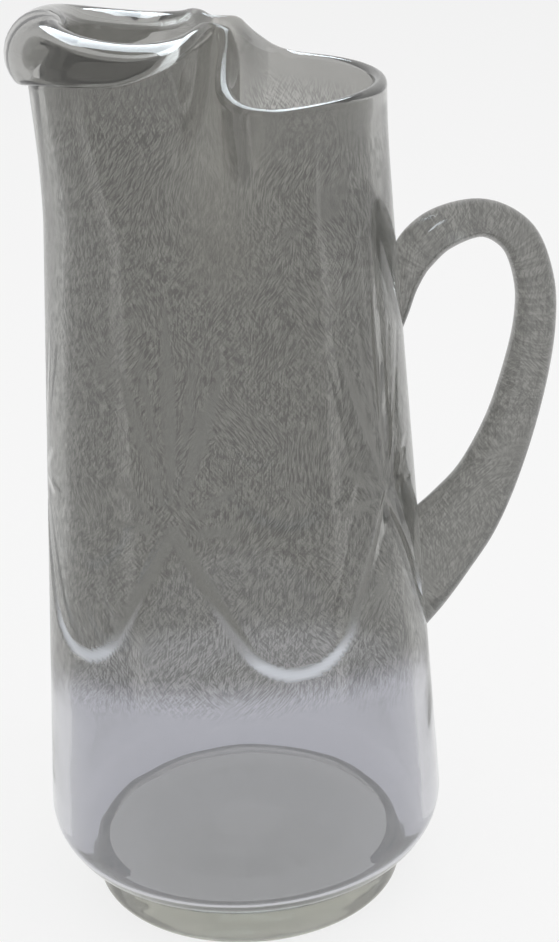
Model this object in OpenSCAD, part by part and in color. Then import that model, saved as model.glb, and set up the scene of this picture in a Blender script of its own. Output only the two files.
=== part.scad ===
// Cocktail pitcher in clear glass, with a pulled spout, a pinched ice lip, an applied handle
// and five cut garlands that hang from knots with fans of rays.
// The axis of the body is Z, the foot rests on z = 0, the spout points to -X and the handle to +X.

/* [Body] */
// Outer radius at the belly, the widest place
belly_r = 54.8; // [50:0.1:62]
// Outer radius at the shoulder, where the lip starts
shoulder_r = 44.2; // [40:0.1:48]
// Height of the shoulder above the table
shoulder_h = 192; // [150:1:240]
// Rise of the main rim over the shoulder
rim_rise = 33; // [28:1:45]
// Outer radius of the main rim
mouth_r = 43.2; // [39:0.1:47]
// Thickness of the blown wall and of the floor
wall = 5; // [3.5:0.1:6]
// Radius of the rounded heel
heel_r = 15; // [11:0.5:20]

/* [Foot] */
// Height of the pad foot
foot_h = 11.4; // [8:0.1:16]
// Outer radius of the pad foot
foot_r = 43; // [40.5:0.1:46]
// Radius of the foot's lower edge
foot_edge = 3; // [1:0.1:4]
// Radius of the foot's upper edge
foot_shoulder = 1.6; // [0.8:0.1:2.5]

/* [Lip] */
// Height of the pinch above the main rim, at the root of the lip
spout_rise = 15.3; // [10:0.1:20]
// Reach of the spout from the axis, at the root of the lip
spout_reach = 45.5; // [42:0.1:49]
// Half width of the spout, at the root of the lip
spout_half_w = 24.4; // [20:0.1:27]
// Half of the neck left in the pinch, over the glass, at the root of the lip
pinch_half_w = 8.2; // [7:0.1:11]
// Thickness of the lip
lip_t = 3.6; // [3:0.1:4]
// Size across the rolled lip at the sides of the spout
side_roll = 10; // [8:0.1:11]
// Size across the rolled lip at the tip of the spout
tip_roll = 16; // [13:0.1:17]
// Height of the fire-polished edge of the main rim
edge_h = 4; // [3:0.1:6]
// Angle from the handle at which the near side of the rim leaves its circle
near_round = 74; // [64:1:78]
// Angle from the handle at which the far side of the rim leaves its circle
far_round = 60; // [50:1:70]

/* [Handle] */
// Distance from the wall to the middle of the rod at its farthest
handle_out = 34.6; // [26:0.1:44]
// Drop from the shoulder to the top of the handle's middle line
handle_drop = 4.9; // [4:0.1:12]
// Height at which the handle's middle line ends in the lower joint
handle_foot = 79; // [66:1:92]
// Thickness of the rod at its side
handle_t = 10.4; // [8:0.1:12]
// Width of the rod across
handle_w = 13; // [10:0.1:16]

/* [Cuts] */
// Drop from the shoulder to the knots that the garlands hang from
knot_drop = 68; // [62:0.5:76]
// Depth of the cuts in the wall
cut_depth = 0.6; // [0.3:0.05:1]
// Width of the garlands
garland_w = 3.6; // [2.4:0.1:5]
// Radius of the lowest curve of a garland
garland_r = 16.3; // [12:0.1:20]
// Drop from the knots to the lowest place of a garland's middle line
garland_drop = 39.4; // [34:0.1:42]
// Reach of the longest ray from the middle of its knot
ray_reach = 60; // [44:1:62]
// Width of the widest ray
ray_w = 4; // [2.5:0.1:5]

/* [Hidden] */
$fn = 96;
glass = [0.82, 0.86, 0.85, 0.45];
foot_glass = [0.74, 0.8, 0.74, 0.6];
handle_glass = [0.8, 0.84, 0.84, 0.55];

half_turn = 180;
full_turn = 2 * half_turn;

// Heights that follow the shoulder
rim_h = shoulder_h + rim_rise;
handle_top = shoulder_h - handle_drop;
knot_h = shoulder_h - knot_drop;

// Heel circle, and the point where the straight wall leaves it
heel_x = belly_r - heel_r;
heel_z = foot_h + heel_r;
to_shoulder = [shoulder_r - heel_x, shoulder_h - heel_z];
heel_turn = atan2(to_shoulder.y, to_shoulder.x) - acos(heel_r / norm(to_shoulder));
belly = [heel_x + heel_r * cos(heel_turn), heel_z + heel_r * sin(heel_turn)];
inner_belly = belly - wall * [cos(heel_turn), sin(heel_turn)];
// The inside of the wall at the shoulder, measured level
shoulder_inner_r = shoulder_r - wall / cos(heel_turn);
floor_z = foot_h + wall;

function outer_r(z) = belly.x + (shoulder_r - belly.x) * (z - belly.y) / (shoulder_h - belly.y);
function lerp(a, b, t) = a + (b - a) * t;
function unit(v) = v / norm(v);
function spline(a, b, c, d, t) =
    (2 * b + (c - a) * t + (2 * a - 5 * b + 4 * c - d) * t * t
    + (3 * b - a - 3 * c + d) * t * t * t) / 2;
// Point number k of a smooth curve through all the points of a table
function along(table, k, steps) = let (
    last = len(table) - 1,
    i = min(floor(k / steps), last - 1),
    t = k / steps - i)
    spline(table[max(i - 1, 0)], table[i], table[i + 1], table[min(i + 2, last)], t);

// The root of the lip, from where the rim leaves its circle to the pinch, on each side.
// Each row: way along and way across as shares of the mouth, rise, and share of the half turn
near_pinch_shares = [
    [0.117, 0.909, 0.06, 0.427],
    [0.05, 0.78, 0.18, 0.445],
    [0.04, 0.6, 0.34, 0.468],
    [0.055, 0.43, 0.53, 0.488],
    [0.075, 0.315, 0.72, 0.506],
    [0.072, 0.235, 0.9, 0.522]];
far_pinch_shares = [
    [0.36, 0.815, 0.16, 0.357],
    [0.27, 0.69, 0.38, 0.392],
    [0.205, 0.55, 0.58, 0.43],
    [0.16, 0.414, 0.76, 0.466],
    [0.128, 0.305, 0.9, 0.496],
    [0.09, 0.23, 0.98, 0.518]];
// The lip from the pinch to the tip of the spout, which both sides share.
// Each row: way along as a share of the reach, way across as a share of the half width,
// rise, share of the half turn, share of the roll and share of its greatest height
spout_shares = [
    [-0.012, 0.363, 1, 0.552, 0, 0],
    [-0.055, 0.469, 0.96, 0.569, 0.1, 0],
    [-0.14, 0.68, 0.88, 0.596, 0.34, 0],
    [-0.29, 0.917, 0.81, 0.644, 0.74, 0],
    [-0.48, 1, 0.79, 0.7, 0.97, 0.05],
    [-0.66, 0.93, 0.77, 0.761, 1, 0.2],
    [-0.812, 0.738, 0.68, 0.828, 1, 0.48],
    [-0.94, 0.4, 0.52, 0.911, 1, 0.84],
    [-1, 0, 0.45, 1, 1, 1]];
// Run of the rolled lip from its root, at the sides and at the tip of the spout. Each row:
// length of the step as a share of the roll's size, and its heading as a share of a half turn
side_roll_shares = [
    [0.14, 0], [0.14, 0.02], [0.05, 0.1], [0.05, 0.26], [0.05, 0.42], [0.06, 0.56],
    [0.06, 0.69], [0.08, 0.81], [0.08, 0.94], [0.14, 1], [0.14, 1.02]];
tip_roll_shares = [
    [0.406, -0.19], [0.406, -0.19], [0.098, -0.08], [0.098, 0.155], [0.098, 0.385], [0.159, 0.56],
    [0.159, 0.69], [0.181, 0.81], [0.181, 0.94], [0.115, 1.05], [0.11, 1.16]];

edge_z = rim_h - edge_h - lip_t / 2;
// The lip's root is set into the top of the wall, a little in from both faces of the wall
root_depth = 1;
root_step = 0.12;
root_r = shoulder_r - root_step;
root_t = shoulder_r - shoulder_inner_r - 2 * root_step;
// The middle of the pinch: way along as a share of the mouth, and share of the half turn
pinch_shares = [0.028, 0.538];
round_steps = 12;
part_steps = 2;
wall_rows = 11;
roll_rows = len(side_roll_shares);
cap_rows = 3;

// Root of the lip on one side: [x, y, z, angle at the shoulder, roll, height of the roll]
function round_point(a) = [mouth_r * cos(a), mouth_r * sin(a), edge_z, a, 0, 0];
function side_path(pinch, round) = concat(
    [round_point(round * (1 - 1 / round_steps)), round_point(round)],
    [for (p = pinch) [p[0] * mouth_r, p[1] * mouth_r, edge_z + p[2] * spout_rise, p[3] * half_turn, 0, 0]],
    [[pinch_shares[0] * mouth_r, pinch_half_w, edge_z + spout_rise, pinch_shares[1] * half_turn, 0, 0]],
    [for (p = spout_shares) [p[0] * spout_reach, p[1] * spout_half_w, edge_z + p[2] * spout_rise,
        p[3] * half_turn, p[4], p[5]]]);
function half_rim(pinch, round) = let (path = side_path(pinch, round)) concat(
    [for (k = [0 : round_steps - 1]) round_point(round * k / round_steps)],
    [for (k = [part_steps : part_steps * (len(path) - 1)]) along(path, k, part_steps)]);
far_rim = half_rim(far_pinch_shares, far_round);
near_rim = half_rim(near_pinch_shares, near_round);
half_steps = len(far_rim) - 1;
ring = 2 * half_steps;
columns = [for (i = [0 : ring - 1]) i <= half_steps ? far_rim[i]
    : let (c = near_rim[ring - i]) [c[0], -c[1], c[2], full_turn - c[3], c[4], c[5]]];

// Outer face of the wall at share s of the way up from the shoulder to the lip. The wall leans in
// as it rises, and stands up again at the root of the lip by the upright share.
upright_share = 0.65;
function wall_point(c, s) = let (
    r = lerp(root_r, mouth_r, s),
    low = [r * cos(c[3]), r * sin(c[3])],
    flat = lerp(low, [c[0], c[1]], s * s * lerp(1, 3 - 2 * s, upright_share)))
    [flat.x, flat.y, lerp(shoulder_h - root_depth, c[2], s)];
// Level direction that points out of the rim at column i
function rim_out(i) = let (
    a = columns[(i + ring - 1) % ring], b = columns[(i + 1) % ring],
    d = unit([b[0] - a[0], b[1] - a[1]]))
    [d.y, -d.x, 0];
// The lip goes on from the wall: it turns upright at the mouth and rolls over at the spout.
// Step k of the lip, as its way outwards and its way along the run of the wall
function lip_step(lean, roll, high, k) = let (
    side = side_roll_shares[k - 1],
    tip = tip_roll_shares[k - 1],
    rolled = lerp(side[0] * side_roll, tip[0] * tip_roll, high),
    length = lerp(edge_h / roll_rows, rolled, roll),
    turn = lerp(lean * (k - 0.5) / roll_rows, lerp(side[1], tip[1], high) * half_turn, roll))
    length * [sin(turn), cos(turn)];
function lip_way(lean, roll, high, k) = k == 0 ? [0, 0]
    : lip_way(lean, roll, high, k - 1) + lip_step(lean, roll, high, k);
function lip_point(i, k) = let (
    c = columns[i],
    root = wall_point(c, 1),
    up = unit(root - wall_point(c, 1 - 1 / wall_rows)),
    side = rim_out(i),
    out = unit(side - (side * up) * up),
    way = lip_way(acos(up.z), min(max(c[4], 0), 1), min(max(c[5], 0), 1), k))
    root + way[0] * out + way[1] * up;
rows = wall_rows + roll_rows;
face = [for (j = [0 : rows]) [for (i = [0 : ring - 1])
    j <= wall_rows ? wall_point(columns[i], j / wall_rows) : lip_point(i, j - wall_rows)]];
function around(j, i) = face[j][(i + 1) % ring] - face[j][(i + ring - 1) % ring];
function upward(j, i) = face[min(j + 1, rows)][i] - face[max(j - 1, 0)][i];
// Outward normal, level at the root
function normal(j, i) = j == 0 ? [cos(columns[i][3]), sin(columns[i][3]), 0]
    : unit(cross(around(j, i), upward(j, i)));
function thickness(j) = lerp(root_t, lip_t, min(j / wall_rows, 1));
function inside(j) = [for (i = [0 : ring - 1]) face[j][i] - thickness(j) * normal(j, i)];
function cap(a) = [for (i = [0 : ring - 1])
    face[rows][i] + lip_t / 2 * ((cos(a) - 1) * normal(rows, i) + sin(a) * unit(upward(rows, i)))];
lip_rings = concat(
    face,
    [for (k = [1 : cap_rows]) cap(half_turn * k / (cap_rows + 1))],
    [for (j = [rows : -1 : 0]) inside(j)]);

// Closed skin over rings of points that follow each other and join up again
module closed_loft(rings) {
    n = len(rings);
    m = len(rings[0]);
    polyhedron(
        points = [for (r = rings) each r],
        faces = [for (j = [0 : n - 1]) for (i = [0 : m - 1]) for (half = [0, 1]) let (
            a = j * m + i, b = j * m + (i + 1) % m,
            c = ((j + 1) % n) * m + (i + 1) % m, d = ((j + 1) % n) * m + i)
            half == 0 ? [a, c, b] : [a, d, c]]);
}

// Closed skin over rings of points from end to end, with a flat cap on each end
module capped_loft(rings) {
    n = len(rings);
    m = len(rings[0]);
    polyhedron(
        points = [for (r = rings) each r],
        faces = concat(
            [[for (i = [0 : m - 1]) i]],
            [[for (i = [m - 1 : -1 : 0]) (n - 1) * m + i]],
            [for (j = [0 : n - 2]) for (i = [0 : m - 1]) for (half = [0, 1]) let (
                a = j * m + i, b = j * m + (i + 1) % m, c = b + m, d = a + m)
                half == 0 ? [a, c, b] : [a, d, c]]));
}

// Half section of the body below the shoulder
module body_outline(centre_z, radius, low_z, belly_point, top_r) {
    circle_part = [heel_x, centre_z];
    polygon([[0, low_z], [heel_x, low_z], circle_part, belly_point, [top_r, shoulder_h], [0, shoulder_h]]);
    intersection() {
        translate(circle_part) circle(radius);
        translate([heel_x, low_z]) square([radius, belly_point.y - low_z]);
    }
}

module outer_outline() {
    body_outline(heel_z, heel_r, foot_h, belly, shoulder_r);
}

module inner_outline() {
    body_outline(heel_z, heel_r - wall, floor_z, inner_belly, shoulder_inner_r);
}

// Knots at even steps, two of them beside the handle and one under the spout
knots = 5;
knot_step = full_turn / knots;
// Overrun of the cutters beyond the wall
over = 0.4;
// Half width of the place that stays whole for the lower joint of the handle
joint_half_w = 0.8 * handle_w;
// Half the way between two knots, as seen along the radius between them
garland_half = outer_r(knot_h) * sin(knot_step / 2);
garland_low = knot_h - garland_drop;
garland_mid = [0, garland_low + garland_r];
to_knot = [garland_half, knot_h] - garland_mid;
// Heading from a garland's middle to where its straight part leaves the curve
garland_turn = atan2(to_knot.y, to_knot.x) - acos(garland_r / norm(to_knot));
garland_steps = 20;
// Edge of a garland at a distance from its middle, from knot to knot
function garland_edge(r) = let (
    end = [garland_half, knot_h] + (r - garland_r) * [cos(garland_turn), sin(garland_turn)])
    concat(
        [[-end.x, end.y]],
        [for (k = [0 : garland_steps]) let (
            a = lerp(-half_turn - garland_turn, garland_turn, k / garland_steps))
            garland_mid + r * [cos(a), sin(a)]],
        [end]);

// Flat outline of a garland, as seen along the radius through its middle
module garland_outline() {
    low_edge = garland_edge(garland_r + garland_w / 2);
    high_edge = garland_edge(garland_r - garland_w / 2);
    last = len(high_edge) - 1;
    polygon(concat(low_edge, [for (k = [last : -1 : 0]) high_edge[k]]));
}

// Solid that stops the garlands at the depth of the cut
module garland_floor() {
    rotate_extrude() polygon([
        [0, belly.y], [belly.x - cut_depth, belly.y], [shoulder_r - cut_depth, shoulder_h],
        [0, shoulder_h]]);
}

// Cutters of all the garlands
module garlands() {
    difference() {
        for (k = [0 : knots - 1]) rotate([0, 0, k * knot_step]) difference() {
            rotate([half_turn / 2, 0, half_turn / 2]) linear_extrude(belly_r + over)
                garland_outline();
            if (k == 0) translate([0, -joint_half_w, garland_low - garland_w])
                cube([belly_r + 2 * over, 2 * joint_half_w, garland_drop]);
        }
        garland_floor();
    }
}

// Rays that fan out from each knot. Each row: heading as a share of a half turn from upright,
// start and end as shares of the longest ray's reach, and width as a share of the widest ray's
ray_shares = [
    [0, 0.05, 1, 1], [0.051, 0.3, 0.83, 0.6], [0.1, 0.06, 0.78, 0.95], [0.3, 0.06, 0.36, 0.8],
    [0.5, 0.06, 0.3, 0.85]];
ray_parts = 4;
// A ray is deepest at its middle, and leaves the wall just before its ends
ray_fall = 1.06;
function ray_depth(share, t) = cut_depth * share * (1 - ray_fall * pow(2 * t - 1, 2));
// Place on a ray by its way along and across, lifted over the wall
function ray_place(turn, along, across, lift) = let (
    z = knot_h + along * cos(turn) - across * sin(turn),
    a = (along * sin(turn) + across * cos(turn)) / outer_r(z) * half_turn / PI)
    [(outer_r(z) + lift) * cos(a), (outer_r(z) + lift) * sin(a), z];

// Cutter of one ray, a wedge with its keel along the ray
module ray(turn, start, end, share) {
    capped_loft([for (k = [0 : ray_parts]) let (
        along = lerp(start, end, k / ray_parts),
        deep = ray_depth(share, k / ray_parts),
        half = (over + deep) * ray_w / 2 / cut_depth)
        [ray_place(turn, along, 0, -deep), ray_place(turn, along, -half, over),
            ray_place(turn, along, half, over)]]);
}

// Cutters of the fans on all the knots
module rays() {
    for (k = [0 : knots - 1]) rotate([0, 0, (k + 1 / 2) * knot_step])
        for (r = ray_shares) for (side = r[0] > 0 && r[0] < 1 ? [-1, 1] : [1])
            ray(side * r[0] * half_turn, r[1] * ray_reach, r[2] * ray_reach, r[3]);
}

module vessel_body() {
    color(glass) union() {
        difference() {
            rotate_extrude() difference() {
                outer_outline();
                inner_outline();
            }
            garlands();
            rays();
        }
        closed_loft(lip_rings);
    }
}

module foot() {
    lower = foot_r - foot_edge;
    upper = foot_r - foot_shoulder;
    shoulder_z = foot_h - foot_shoulder;
    color(foot_glass) rotate_extrude() {
        square([lower, foot_edge]);
        translate([lower, foot_edge]) circle(foot_edge);
        translate([0, foot_edge]) square([foot_r, shoulder_z - foot_edge]);
        translate([upper, shoulder_z]) circle(foot_shoulder);
        translate([0, shoulder_z]) square([upper, foot_shoulder]);
    }
}

// Middle line of the handle from the tail of the upper joint, over the top, to the lower joint.
// Each row: way out from the wall, way up, and thickness and width as shares of the rod's
handle_shares = [
    [-0.072, 0.722, 0.3, 0.45],
    [-0.012, 0.786, 0.5, 0.72],
    [0.04, 0.86, 0.82, 0.95],
    [0.143, 0.927, 1.08, 1.05],
    [0.355, 0.98, 1.06, 1],
    [0.665, 1, 0.92, 0.95],
    [0.91, 0.949, 0.96, 0.95],
    [1.008, 0.846, 1, 0.97],
    [0.996, 0.74, 1.06, 1],
    [0.91, 0.62, 1.17, 1.03],
    [0.757, 0.476, 1.31, 1.08],
    [0.551, 0.338, 1.6, 1.16],
    [0.338, 0.24, 2, 1.27],
    [0.104, 0.157, 2.3, 1.36],
    [-0.114, 0.077, 2.45, 1.36],
    [-0.318, 0, 2.4, 1.25]];
handle_sides = 16;
handle_steps = 3;
function handle_point(k) = let (
    c = along(handle_shares, k, handle_steps),
    z = lerp(handle_foot, handle_top, c[1]))
    [outer_r(z) + c[0] * handle_out, z, c[2] * handle_t / 2, c[3] * handle_w / 2];
handle_count = handle_steps * (len(handle_shares) - 1);
handle_line = [for (k = [0 : handle_count]) handle_point(k)];
function handle_ring(k) = let (
    p = handle_line[k],
    a = handle_line[max(k - 1, 0)], b = handle_line[min(k + 1, handle_count)],
    d = unit([b[0] - a[0], b[1] - a[1]]))
    [for (i = [0 : handle_sides - 1]) let (
        t = full_turn * i / handle_sides, off = p[2] * cos(t))
        [p[0] + off * d.y, p[3] * sin(t), p[1] - off * d.x]];

module handle() {
    color(handle_glass) difference() {
        capped_loft([for (k = [0 : handle_count]) handle_ring(k)]);
        rotate_extrude() outer_outline();
    }
}

vessel_body();
foot();
handle();
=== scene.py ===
"""Scene of the clear glass cocktail pitcher: three pieces of glass, the studio and the camera."""

import logging
import math
from collections.abc import Mapping, Sequence
from dataclasses import dataclass
from enum import Enum

import bpy
import numpy as np
from mathutils import Matrix, Vector

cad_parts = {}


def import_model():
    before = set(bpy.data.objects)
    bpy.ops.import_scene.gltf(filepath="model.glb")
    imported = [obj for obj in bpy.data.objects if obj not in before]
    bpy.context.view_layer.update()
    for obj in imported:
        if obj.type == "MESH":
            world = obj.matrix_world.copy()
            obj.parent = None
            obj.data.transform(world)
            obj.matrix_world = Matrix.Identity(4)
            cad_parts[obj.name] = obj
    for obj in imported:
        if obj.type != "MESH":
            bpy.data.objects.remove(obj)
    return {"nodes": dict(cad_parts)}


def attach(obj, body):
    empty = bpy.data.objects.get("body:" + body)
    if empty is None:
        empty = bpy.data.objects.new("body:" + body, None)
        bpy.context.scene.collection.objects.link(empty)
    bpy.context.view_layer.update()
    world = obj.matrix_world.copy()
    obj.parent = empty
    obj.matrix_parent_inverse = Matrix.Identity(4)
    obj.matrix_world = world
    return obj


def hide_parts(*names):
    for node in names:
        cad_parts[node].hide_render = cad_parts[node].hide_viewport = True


LOG = logging.getLogger("pitcher")
CLOSE = 1e-6
TINY = 1e-12
Rows = np.ndarray
Number = float | int


# ---- Shapes in numbers ----


def lerp(a: Rows | float, b: Rows | float, t: Rows | float) -> Rows | float:
    """Value at share t of the way from a to b."""
    return a + (b - a) * t


def unit(rows: Rows) -> Rows:
    """Vectors of the same headings with a length of one."""
    return rows / np.linalg.norm(rows, axis=-1, keepdims=True)


def smooth_path(table: Rows, places: Rows) -> Rows:
    """Points of a smooth curve that goes through all the rows of a table.

    Args:
        table: Rows of numbers, in the order in which the curve meets them.
        places: Where the points lie, counted in rows of the table.

    Returns:
        One row of numbers for each place.
    """
    last = len(table) - 1
    i = np.minimum(np.floor(places).astype(int), last - 1)
    t = (places - i)[:, None]
    a, b = table[np.maximum(i - 1, 0)], table[i]
    c, d = table[i + 1], table[np.minimum(i + 2, last)]
    bend = 2 * a - 5 * b + 4 * c - d
    return (2 * b + (c - a) * t + bend * t**2 + (3 * b - a - 3 * c + d) * t**3) / 2


def spread_evenly(points: Rows, way: Rows, count: int) -> Rows:
    """Picks points at even steps of a way along a dense run of points.

    Args:
        points: Dense rows of numbers.
        way: Length of the way up to each of the rows.
        count: How many steps to make.

    Returns:
        count + 1 rows of numbers.
    """
    stops = np.linspace(0, way[-1], count + 1)
    return np.column_stack([np.interp(stops, way, points[:, k]) for k in range(points.shape[1])])


# ---- Modelling bench ----


class Bench:
    """Blender's modelling operators, as the glass pieces use them."""

    first_size = 0.001

    @staticmethod
    def clear() -> None:
        """Goes back to object mode and selects nothing."""
        if bpy.context.object is not None and bpy.context.object.mode != "OBJECT":
            bpy.ops.object.mode_set(mode="OBJECT")
        bpy.ops.object.select_all(action="DESELECT")

    @staticmethod
    def take(piece: bpy.types.Object) -> None:
        """Selects one piece alone and makes it the active one.

        Args:
            piece: The piece.
        """
        Bench.clear()
        piece.select_set(True)
        bpy.context.view_layer.objects.active = piece

    @staticmethod
    def draw_outline(name: str, outline: Rows) -> bpy.types.Object:
        """Draws a half section, one extruded corner after the other, in the plane y = 0.

        Args:
            name: Name of the new piece.
            outline: Radius and height of each corner.

        Returns:
            The piece, an open chain of edges whose corners keep the order of the outline.
        """
        Bench.clear()
        bpy.ops.mesh.primitive_plane_add(size=Bench.first_size, location=(0, 0, 0))
        piece = bpy.context.object
        piece.name = piece.data.name = name
        bpy.ops.object.mode_set(mode="EDIT")
        bpy.ops.mesh.select_mode(type="VERT")
        bpy.ops.mesh.select_all(action="SELECT")
        bpy.ops.mesh.merge(type="CENTER")
        bpy.ops.transform.translate(value=(outline[0][0], 0, outline[0][1]))
        for step in np.diff(outline, axis=0):
            way = (float(step[0]), 0.0, float(step[1]))
            bpy.ops.mesh.extrude_region_move(TRANSFORM_OT_translate={"value": way})
        bpy.ops.object.mode_set(mode="OBJECT")
        return piece

    @staticmethod
    def spin(piece: bpy.types.Object, steps: int) -> None:
        """Turns a half section once round the axis of the body and closes its seam and poles.

        Each corner keeps the number of its row in the attribute "row".

        Args:
            piece: The half section.
            steps: How many columns it gets.
        """
        Bench.take(piece)
        row = piece.data.attributes.new("row", "INT", "POINT")
        row.data.foreach_set("value", np.arange(len(piece.data.vertices), dtype=np.int32))
        bpy.ops.object.mode_set(mode="EDIT")
        bpy.ops.mesh.select_all(action="SELECT")
        bpy.ops.mesh.spin(steps=steps, angle=math.tau, center=(0, 0, 0), axis=(0, 0, 1))
        bpy.ops.mesh.select_all(action="SELECT")
        bpy.ops.mesh.remove_doubles(threshold=CLOSE)
        bpy.ops.mesh.normals_make_consistent(inside=False)
        bpy.ops.object.mode_set(mode="OBJECT")

    @staticmethod
    def corners(piece: bpy.types.Object) -> Rows:
        """Finds all the corners of a piece.

        Args:
            piece: The piece.

        Returns:
            Their places, one row each.
        """
        flat = np.empty(len(piece.data.vertices) * 3, np.float32)
        piece.data.vertices.foreach_get("co", flat)
        return flat.reshape(-1, 3).astype(float)

    @staticmethod
    def lay(piece: bpy.types.Object, places: Rows) -> None:
        """Puts the corners of a piece at new places."""
        piece.data.vertices.foreach_set("co", places.astype(np.float32).ravel())
        piece.data.update()

    @staticmethod
    def lay_rings(piece: bpy.types.Object, rings: Rows) -> tuple[Rows, Rows]:
        """Pulls a spun blank into rings of its own, as hot glass is pulled.

        Args:
            piece: The spun blank, with the attribute "row".
            rings: Places by row and by column, the columns in even steps of the spin.

        Returns:
            Row and column of each corner.
        """
        old = Bench.corners(piece)
        row = np.empty(len(old), np.int32)
        piece.data.attributes["row"].data.foreach_get("value", row)
        steps = rings.shape[1]
        turn = np.arctan2(old[:, 1], old[:, 0]) / math.tau * steps
        column = np.rint(turn).astype(int) % steps
        Bench.lay(piece, rings[row, column])
        return row, column

    @staticmethod
    def smooth(piece: bpy.types.Object, angle: float) -> None:
        """Shades a piece smooth, apart from edges that turn by more than an angle."""
        Bench.take(piece)
        bpy.ops.object.shade_smooth_by_angle(angle=angle)

    @staticmethod
    def note(piece: bpy.types.Object, name: str, domain: str, values: Rows) -> None:
        """Keeps a number for each corner (POINT) or face (FACE) of a piece in an attribute."""
        note = piece.data.attributes.new(name, "FLOAT", domain)
        note.data.foreach_set("value", values.astype(np.float32))

    @staticmethod
    def values(piece: bpy.types.Object, name: str) -> Rows:
        """Reads the numbers that an attribute of a piece holds.

        Args:
            piece: The piece.
            name: Name of the attribute.

        Returns:
            One number for each corner or face.
        """
        data = piece.data.attributes[name].data
        flat = np.empty(len(data), np.float32)
        data.foreach_get("value", flat)
        return flat.astype(float)

    @staticmethod
    def border(piece: bpy.types.Object, chosen: Rows) -> Rows:
        """Edges between chosen faces and the others.

        Args:
            piece: The piece.
            chosen: Whether each face is chosen.

        Returns:
            Places of both ends of each edge.
        """
        mesh = piece.data
        count = np.zeros(len(mesh.edges), int)
        for face in mesh.polygons:
            if chosen[face.index]:
                for loop in face.loop_indices:
                    count[mesh.loops[loop].edge_index] += 1
        ends = np.array([mesh.edges[k].vertices[:] for k in np.flatnonzero(count == 1)])
        return Bench.corners(piece)[ends]

    @staticmethod
    def face_middles(piece: bpy.types.Object) -> Rows:
        """Finds the middles of all the faces of a piece.

        Args:
            piece: The piece.

        Returns:
            Their places, one row each.
        """
        flat = np.empty(len(piece.data.polygons) * 3, np.float32)
        piece.data.polygons.foreach_get("center", flat)
        return flat.reshape(-1, 3).astype(float)


# ---- Shader maths ----


class Value:
    """Output of a shader node that takes Python's operators."""

    def __init__(self, board: "Board", socket: bpy.types.NodeSocket) -> None:
        """Wraps one output socket."""
        self.board = board
        self.socket = socket

    def __add__(self, other: "Value | Number") -> "Value":
        """Sum."""
        return self.board.maths("ADD", self, other)

    def __sub__(self, other: "Value | Number") -> "Value":
        """Difference."""
        return self.board.maths("SUBTRACT", self, other)

    def __rsub__(self, other: Number) -> "Value":
        """Difference from a number."""
        return self.board.maths("SUBTRACT", other, self)

    def __mul__(self, other: "Value | Number") -> "Value":
        """Product."""
        return self.board.maths("MULTIPLY", self, other)

    __radd__ = __add__
    __rmul__ = __mul__


Input = Value | Number | Sequence[float]


class Board:
    """Node board of one material or of the world."""

    def __init__(self, tree: bpy.types.NodeTree) -> None:
        """Takes a node tree and empties it."""
        self.tree = tree
        tree.nodes.clear()

    def node(
        self, kind: str, settings: Mapping[str, object], inputs: Mapping[str | int, Input]
    ) -> bpy.types.Node:
        """Adds a node.

        Args:
            kind: Type of the node, without its common beginning.
            settings: Options that are set first.
            inputs: Numbers or links of its sockets, by name or by number.

        Returns:
            The new node.
        """
        made = self.tree.nodes.new("ShaderNode" + kind)
        for name, choice in settings.items():
            setattr(made, name, choice)
        for name, value in inputs.items():
            if isinstance(value, Value):
                self.tree.links.new(value.socket, made.inputs[name])
            else:
                made.inputs[name].default_value = value
        return made

    def read(
        self,
        kind: str,
        output: str | int,
        settings: Mapping[str, object] | None = None,
        inputs: Mapping[str | int, Input] | None = None,
    ) -> Value:
        """Adds a node and returns one of its outputs."""
        return Value(self, self.node(kind, settings or {}, inputs or {}).outputs[output])

    def maths(self, operation: str, *parts: Value | Number) -> Value:
        """Adds a Math node over values and numbers."""
        return self.read("Math", "Value", {"operation": operation}, dict(enumerate(parts)))

    def note(self, name: str) -> Value:
        """Number that the piece keeps in an attribute."""
        return self.read("Attribute", "Fac", {"attribute_name": name})

    def climb(self, value: Value, low: Number, high: Number) -> Value:
        """Smooth step from 0 at a low number to 1 at a high one."""
        ends = {"Value": value, "From Min": low, "From Max": high}
        return self.read("MapRange", "Result", {"interpolation_type": "SMOOTHSTEP"}, ends)

    def mix(self, share: Value, first: Sequence[float], second: Sequence[float]) -> Value:
        """Colour that is the second one by a share and else the first."""
        return self.read("Mix", 2, {"data_type": "RGBA"}, {0: share, 6: first, 7: second})

    def blend(self, share: Value, first: Value, second: Value) -> Value:
        """Shader that is the second one by a share and else the first."""
        return self.read("MixShader", "Shader", {}, {0: share, 1: first, 2: second})

    def clear(self, colour: Sequence[float]) -> Value:
        """Shader that lets rays go straight on in a colour."""
        return self.read("BsdfTransparent", "BSDF", {}, {"Color": (*colour, 1)})

    def rays(self, *kinds: str) -> Value:
        """Finds rays of some kinds.

        Args:
            kinds: Names of the kinds, as the Light Path node says them.

        Returns:
            1 for these rays and 0 for all others.
        """
        path = self.node("LightPath", {}, {})
        found = [Value(self, path.outputs[f"Is {kind} Ray"]) for kind in kinds]
        total = found[0]
        for one in found[1:]:
            total = self.maths("MAXIMUM", total, one)
        return total

    def seen(self) -> Value:
        """Is 1 for rays that the eye follows, straight, mirrored or through glass."""
        return self.rays("Camera", "Glossy", "Transmission")


# ---- Finishes ----


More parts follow.
